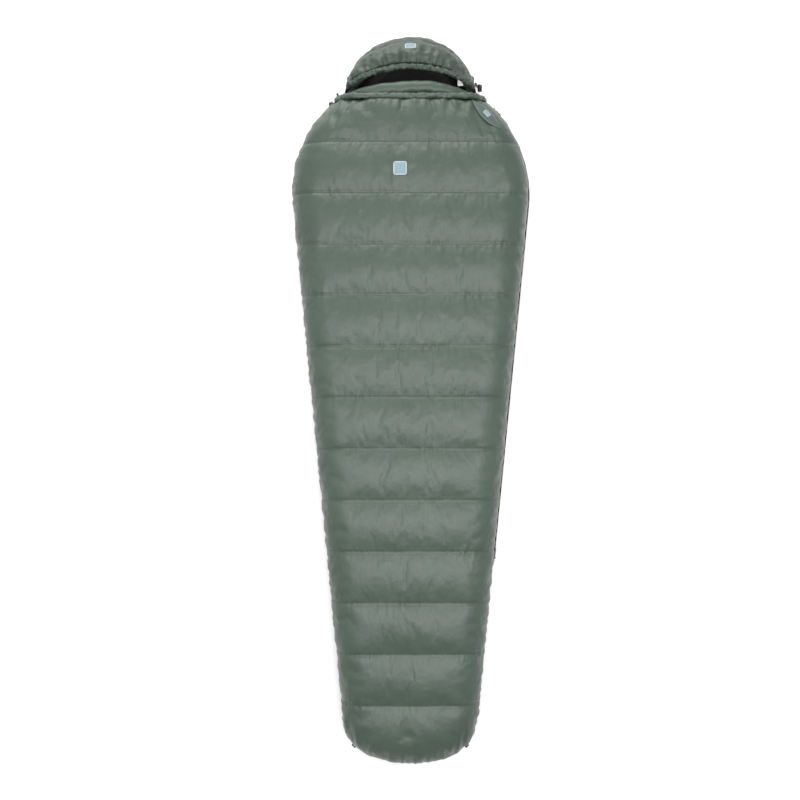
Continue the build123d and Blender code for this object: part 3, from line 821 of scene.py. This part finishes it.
def repeatTree():
    # one small item set along a curve at an even pitch
    tree = bpy.data.node_groups.new("repeatAlongPath", "GeometryNodeTree")
    face = tree.interface
    face.new_socket("Geometry", in_out="INPUT", socket_type="NodeSocketGeometry")
    face.new_socket("Item", in_out="INPUT", socket_type="NodeSocketObject")
    face.new_socket("Pitch", in_out="INPUT", socket_type="NodeSocketFloat")
    face.new_socket("Finish", in_out="INPUT", socket_type="NodeSocketMaterial")
    face.new_socket("Geometry", in_out="OUTPUT", socket_type="NodeSocketGeometry")
    add = tree.nodes.new
    start, end = add("NodeGroupInput"), add("NodeGroupOutput")
    spaced, item = add("GeometryNodeCurveToPoints"), add("GeometryNodeObjectInfo")
    spaced.mode = "LENGTH"
    place, real, paint = (add("GeometryNodeInstanceOnPoints"), add("GeometryNodeRealizeInstances"),
                          add("GeometryNodeSetMaterial"))
    join = tree.links.new
    join(start.outputs["Geometry"], spaced.inputs["Curve"])
    join(start.outputs["Pitch"], spaced.inputs["Length"])
    join(start.outputs["Item"], item.inputs["Object"])
    join(spaced.outputs["Points"], place.inputs["Points"])
    join(spaced.outputs["Rotation"], place.inputs["Rotation"])
    join(item.outputs["Geometry"], place.inputs["Instance"])
    join(place.outputs["Instances"], real.inputs["Geometry"])
    join(real.outputs["Geometry"], paint.inputs["Geometry"])
    join(start.outputs["Finish"], paint.inputs["Material"])
    join(paint.outputs["Geometry"], end.inputs["Geometry"])
    return tree


repeater = repeatTree()


def repeated(name, paths, item, pitch, look):
    curve = bpy.data.curves.new(name + "Path", "CURVE")
    curve.dimensions = "3D"
    curve.twist_mode = "Z_UP"
    for path in paths:
        spline = curve.splines.new("POLY")
        spline.points.add(len(path) - 1)
        for point, p in zip(spline.points, path):
            point.co = (*p, 1)
    guide = bpy.data.objects.new(name + "Guide", curve)
    bpy.context.scene.collection.objects.link(guide)
    mod = guide.modifiers.new("repeat", "NODES")
    mod.node_group = repeater
    for socket in repeater.interface.items_tree:
        if socket.in_out == "INPUT" and socket.name in ("Item", "Pitch", "Finish"):
            mod[socket.identifier] = {"Item": item, "Pitch": pitch, "Finish": look}[socket.name]
    bpy.context.view_layer.update()
    result = bpy.context.evaluated_depsgraph_get()
    mesh = bpy.data.meshes.new_from_object(guide.evaluated_get(result))
    bpy.data.objects.remove(guide)
    piece = bpy.data.objects.new(name, mesh)
    bpy.context.scene.collection.objects.link(piece)
    if not mesh.materials:
        mesh.materials.append(look)
    return piece


def nugget(name, size):
    # a small block with cut corners
    x, y, z = (v / 2 for v in size)
    c = min(x, y, z) * 0.5
    outline = [(-y + c, -z), (y - c, -z), (y, -z + c), (y, z - c),
               (y - c, z), (-y + c, z), (-y, z - c), (-y, -z + c)]
    points = [(end * x, a, b) for end in (-1, 1) for a, b in outline]
    faces = [(i, (i + 1) % 8, 8 + (i + 1) % 8, 8 + i) for i in range(8)]
    faces += [tuple(range(7, -1, -1)), tuple(range(8, 16))]
    piece = newMesh(name, points, faces)
    outward(piece)
    return piece


coil = {"pitch": 0.0024, "tooth": (0.0032, 0.0019, 0.0013), "low": 0.0874, "high": 0.0906}
tooth = nugget("toothItem", coil["tooth"])
lowPath, _ = sideOfBag(zipLow, zipHigh, tape["inset"], coil["low"], 400)
highPath, _ = sideOfBag(zipLow + coil["pitch"] / 2, zipHigh, tape["inset"], coil["high"], 400)
lowCoil = repeated("lowerCoil", [lowPath], tooth, coil["pitch"], finishes["coil"])
highCoil = repeated("upperCoil", [highPath], tooth, coil["pitch"], finishes["coil"])
bpy.data.objects.remove(tooth)

# stitches along the quilting seams
sewing = {"stitch": (0.0007, 0.0006, 0.0028), "pitch": 0.0042, "lift": 0.0002}
stitch = nugget("stitchItem", sewing["stitch"])
seamRows = [int(np.argmin(np.abs(upper[:, upper.shape[1] // 2, 1] - y))) for y in seams]
liftedRows = (upper + gridNormals(upper) * sewing["lift"])[seamRows, 4:-4]
stitches = repeated("quiltStitches", liftedRows, stitch, sewing["pitch"], finishes["thread"])
bpy.data.objects.remove(stitch)
print("zip and stitches")


def jointInfo(name):
    return next(joint for joint in frame["joints"] if joint["name"] == name)


# the leaf-shaped tab with its piped edge, over the zip's top end; the piping is coloured near black as
# painted shadow along the tab's edge
tabSpec = {"length": 0.122, "width": 0.04, "thick": 0.0016, "lift": 0.0016, "pipe": 0.0011,
           "inset": 0.044, "puff": 0.0032, "cols": 60, "rows": 16}
tabAxis = -Vector(jointInfo("tab_lift")["axis"]).normalized()
tabOut = Vector((tabAxis.y, -tabAxis.x, 0)).normalized()
tabLean = math.asin((shape["topRound"] - tabSpec["inset"]) / shape["topRound"])
tabUp = tabOut * math.sin(tabLean) + Vector((0, 0, math.cos(tabLean)))
tabSide = tabUp.cross(tabAxis)
tabZ = shape["loft"] - shape["topRound"] + shape["topRound"] * math.cos(tabLean)
tabMiddle = (Vector((0, shoulderY, 0)) + tabOut * (shoulderR - tabSpec["inset"])
             + Vector((0, 0, tabZ)) + tabUp * tabSpec["lift"])


def leafHalf(a):
    half = tabSpec["length"] / 2
    r = (half ** 2 + (tabSpec["width"] / 2) ** 2) / tabSpec["width"]
    return math.sqrt(max(r * r - a * a, 0)) - (r - tabSpec["width"] / 2)


def leafPoint(a, b, h):
    h -= 0.9 * a * a + 5.5 * b * b      # it follows the rounded shoulder
    return tabMiddle + tabAxis * a + tabSide * b + tabUp * h


def layeredFaces(cols, rows):
    # two grids of points, one above the other, joined round their rim
    wide = rows + 1
    total = (cols + 1) * wide
    faces = []
    for k in (i * wide + j for i in range(cols) for j in range(rows)):
        faces.append((k, k + wide, k + wide + 1, k + 1))
        faces.append((total + k, total + k + 1, total + k + wide + 1, total + k + wide))
    ring = ([j for j in range(wide)] + [i * wide + rows for i in range(1, cols + 1)]
            + [cols * wide + j for j in range(rows - 1, -1, -1)]
            + [i * wide for i in range(cols - 1, 0, -1)])
    return faces + [(k, n, n + total, k + total) for k, n in zip(ring, ring[1:] + ring[:1])]


def leafCloth():
    points = []
    for layer, h in enumerate((0.0, tabSpec["thick"])):
        for i in range(tabSpec["cols"] + 1):
            a = tabSpec["length"] * (i / tabSpec["cols"] - 0.5)
            half = max(leafHalf(a) - tabSpec["pipe"], 0.0004)
            for j in range(tabSpec["rows"] + 1):
                b = half * (2 * j / tabSpec["rows"] - 1)
                puff = tabSpec["puff"] * (1 - (b / half) ** 4) if layer else 0
                points.append(leafPoint(a, b, h + puff))
    piece = newMesh("zipTab", points, layeredFaces(tabSpec["cols"], tabSpec["rows"]),
                    [finishes["tabCloth"]])
    outward(piece)
    return piece


# the tab's rim, in the near-black piping finish that paints the shadow along its edge
def leafPiping():
    rim = []
    there = [(i, 1) for i in range(81)]
    back = [(i, -1) for i in range(79, -1, -1)]
    for i, sign in there + back:
        a = tabSpec["length"] * (i / 80 - 0.5)
        b = sign * max(leafHalf(a) - tabSpec["pipe"], 0)
        rim.append(tuple(leafPoint(a * 0.985, b, tabSpec["thick"] / 2)))
    rim = np.array(rim)
    across, up = frames(rim, tuple(tabUp))
    section = oval(tabSpec["pipe"], tabSpec["pipe"], 8)
    return swept("tabPiping", rim, across, up, lambda i: section, finishes["piping"], close=False)


leafTab = leafCloth()
tabRim = leafPiping()
print("tab")


def roundedHalf(a, w, h, r):
    over = abs(a) - (w - r)
    return h if over <= 0 else h - r + math.sqrt(max(r * r - over * over, 0))


def badge(name, centre, axisX, axisY, w, h, r, target, thick):
    # a plain patch with a raised border, laid on the fabric under it
    tree = BVHTree.FromObject(target, bpy.context.evaluated_depsgraph_get())
    normal = axisX.cross(axisY)
    cols, rows = 30, 30
    points = []
    for layer in (0, 1):
        for i in range(cols + 1):
            a = w * (2 * i / cols - 1)
            half = max(roundedHalf(a, w, h, r), 0.0005)
            for j in range(rows + 1):
                b = half * (2 * j / rows - 1)
                start = centre + axisX * a + axisY * b + normal * 0.05
                hit = tree.ray_cast(start, -normal)[0]
                near = min(w - abs(a), half - abs(b))
                lift = 0.0002 + layer * (thick + (0.0005 if near < 0.0022 else 0))
                points.append((hit or start) + normal * lift)
    faces = layeredFaces(cols, rows)
    slots = []
    for i in range(cols):
        for j in range(rows):
            slots += [int(i < 2 or j < 2 or i >= cols - 2 or j >= rows - 2)] * 2
    slots += [1] * (len(faces) - len(slots))
    piece = newMesh(name, points, faces, [finishes["badge"], finishes["badgeEdge"]], slots)
    outward(piece)
    return piece


right, headward = Vector((1, 0, 0)), Vector((0, 1, 0))
chestBadge = badge("chestBadge", Vector(middle("chest_badge")), right, headward,
                   0.02, 0.02, 0.007, quiltTop, 0.0007)
hoodTilt = math.asin((shape["topRound"] - 0.047) / shape["topRound"])
hoodAxis = Vector((0, math.cos(hoodTilt), -math.sin(hoodTilt)))
hoodBadge = badge("hoodBadge", Vector(middle("hood_badge")), right, hoodAxis,
                  0.0165, 0.0095, 0.004, quiltHood, 0.0007)
tabBadge = badge("tabBadge", tabMiddle, tabAxis, tabSide, 0.011, 0.0075, 0.003, leafTab, 0.0005)
print("badges")

# the drawcords' points in millimetres, as their solids have them
cordRoutes = {
    "collar": [(-230.8, 908.6, 100), (-230.8, 908.6, 92), (-236.5, 910, 84), (-243.5, 911.8, 74),
               (-246.1, 912.2, 58), (-246, 912.2, 40), (-246.2, 912.4, 24), (-244, 918, 11),
               (-239, 930, 4), (-232, 943, 2.8), (-230, 957, 3.2)],
    "hood": [(197.2, 958.8, 104), (205.1, 961.4, 102.5), (211.5, 963.4, 95), (214, 964, 84),
             (214.3, 964, 66), (214.1, 964, 48), (214.3, 964.2, 30), (214, 968, 15),
             (211, 978, 5), (206, 990, 3.2)],
}


def drawcord(word):
    curve = bpy.data.curves.new(word + "Drawcord", "CURVE")
    curve.dimensions = "3D"
    spline = curve.splines.new("NURBS")
    route = cordRoutes[word]
    spline.points.add(len(route) - 1)
    for point, p in zip(spline.points, route):
        point.co = (p[0] / 1000, p[1] / 1000, p[2] / 1000, 1)
    spline.order_u = 3
    spline.use_endpoint_u = True
    spline.resolution_u = 8
    curve.bevel_depth = 0.0015
    curve.bevel_resolution = 3
    curve.use_fill_caps = True
    curve.materials.append(finishes["cord"])
    piece = bpy.data.objects.new(word + "Drawcord", curve)
    bpy.context.scene.collection.objects.link(piece)
    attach(piece, "bag")
    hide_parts(word + "_cord")


nodeFinish = {
    "upper_slider": "metal", "lower_slider": "metal", "upper_pull": "metal", "lower_pull": "metal",
    "foot_end_stop": "metal", "upper_end_stop": "metal", "corner_zip_stop": "metal",
    "hood_eyelet": "metal", "tab_hooks": "napped", "tab_loops": "napped", "care_label": "label",
    "left_hang_loop": "tape", "right_hang_loop": "tape", "collar_knot": "cord", "hood_knot": "cord",
    "collar_lock_barrel": "lock", "hood_lock_barrel": "lock", "collar_lock_button": "button",
    "hood_lock_button": "button", "collar_lock_spring": "steel", "hood_lock_spring": "steel",
}
for node, look in nodeFinish.items():
    mesh = frame["nodes"][node].data
    mesh.materials.clear()
    mesh.materials.append(finishes[look])

# copies of the lock springs, each riding on its lock
springs = {}
for word in cordRoutes:
    source = frame["nodes"][word + "_lock_spring"]
    spring = bpy.data.objects.new(word + "Spring", source.data.copy())
    spring.matrix_world = source.matrix_world.copy()
    bpy.context.scene.collection.objects.link(spring)
    low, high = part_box(word + "_lock_spring")
    springs[word] = (spring, low, high)

for piece, slot, nodes in (
        (quiltTop, "shell_fabric", ("upper_shell", "upper_batt", "upper_lining",
                                    "corner_shell", "corner_batt", "corner_lining")),
        (neckBand, "shell_fabric", ("collar_end", "collar_channel")),
        (highTape, "black_tape", ("upper_zip_tape", "corner_zip_tape")),
        (highCoil, "zip_coil", ("upper_zip_coil", "corner_zip_coil")),
        (collarRoll, "shell_fabric", ("collar_roll",)),
        (stitches, "shell_fabric", ())):
    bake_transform(piece)
    if nodes:
        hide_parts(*nodes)
for piece, body, slot, nodes in (
        (quiltBottom, "bag", "shell_fabric", ("lower_shell", "lower_batt", "lower_lining")),
        (quiltHood, "bag", "shell_fabric", ("hood_shell", "hood_batt", "hood_lining")),
        (hoodBrim, "bag", "shell_fabric", ("brim_channel",)),
        (lowTape, "bag", "black_tape", ("lower_zip_tape",)),
        (lowCoil, "bag", "zip_coil", ("lower_zip_coil",)),
        (zipGuard, "bag", "black_tape", ()),
        (draft, "bag", "lining_fabric", ("draft_tube",)),
        (piping, "bag", "shell_fabric", ("side_piping",)),
        (leafTab, "tab", "tab_fabric", ("zip_tab",)),
        (tabRim, "tab", "tab_fabric", ()),
        (tabBadge, "tab", "badge", ()),
        (chestBadge, "bag", "badge", ("chest_badge",)),
        (hoodBadge, "bag", "badge", ("hood_badge",))):
    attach(piece, body)
    if nodes:
        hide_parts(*nodes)
for word, (spring, low, high) in springs.items():
    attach(spring, word + "_lock")
    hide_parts(word + "_lock_spring")
    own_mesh(spring)
for word in cordRoutes:
    drawcord(word)
print("riding")

studio = {"floor": 14.0, "sky": 0.68, "lens": 51.0, "distance": 3.56, "shift": -0.0131}
floorCorners = [(x * studio["floor"], y * studio["floor"], 0)
                for x, y in ((-1, -1), (1, -1), (1, 1), (-1, 1))]
floor = newMesh("floor", floorCorners, [(0, 1, 2, 3)], smooth=False)
floor.location.z = -0.001
pale = Finish("paleFloor", Roughness=0.9)
pale.feed("Base Color", pale.mix(pale.noise(2.0), (0.93, 0.93, 0.93, 1), (0.96, 0.96, 0.96, 1)))
floor.data.materials.append(pale.material)


def lamp(name, place, aim, size, power):
    light = bpy.data.lights.new(name, "AREA")
    light.size = size
    light.energy = power
    item = bpy.data.objects.new(name, light)
    item.location = place
    item.rotation_euler = (Vector(aim) - Vector(place)).to_track_quat("-Z", "Y").to_euler()
    bpy.context.scene.collection.objects.link(item)


lamp("overhead", (0.16, -0.2, 2.5), (0.05, -0.1, 0), 1.7, 62)
lamp("headFill", (-0.4, 3.1, 1.5), (0, 0.2, 0), 1.8, 80)
lamp("leftFill", (-3.0, 0.2, 2.4), (0, 0, 0), 2.5, 22)
lamp("rightFill", (3.0, -0.3, 2.4), (0, 0, 0), 2.5, 18)

world = bpy.data.worlds.new("paleRoom")
world.use_nodes = True
world.node_tree.nodes["Background"].inputs[0].default_value = (1, 1, 1, 1)
world.node_tree.nodes["Background"].inputs[1].default_value = studio["sky"]
bpy.context.scene.world = world
bpy.context.scene.view_settings.view_transform = "Standard"

lens = bpy.data.cameras.new("camera")
lens.lens = studio["lens"]
lens.sensor_width = 36
lens.shift_x = studio["shift"]
camera = bpy.data.objects.new("camera", lens)
camera.location = (0, 0, studio["distance"])
bpy.context.scene.collection.objects.link(camera)
bpy.context.scene.camera = camera
print("lights and camera")
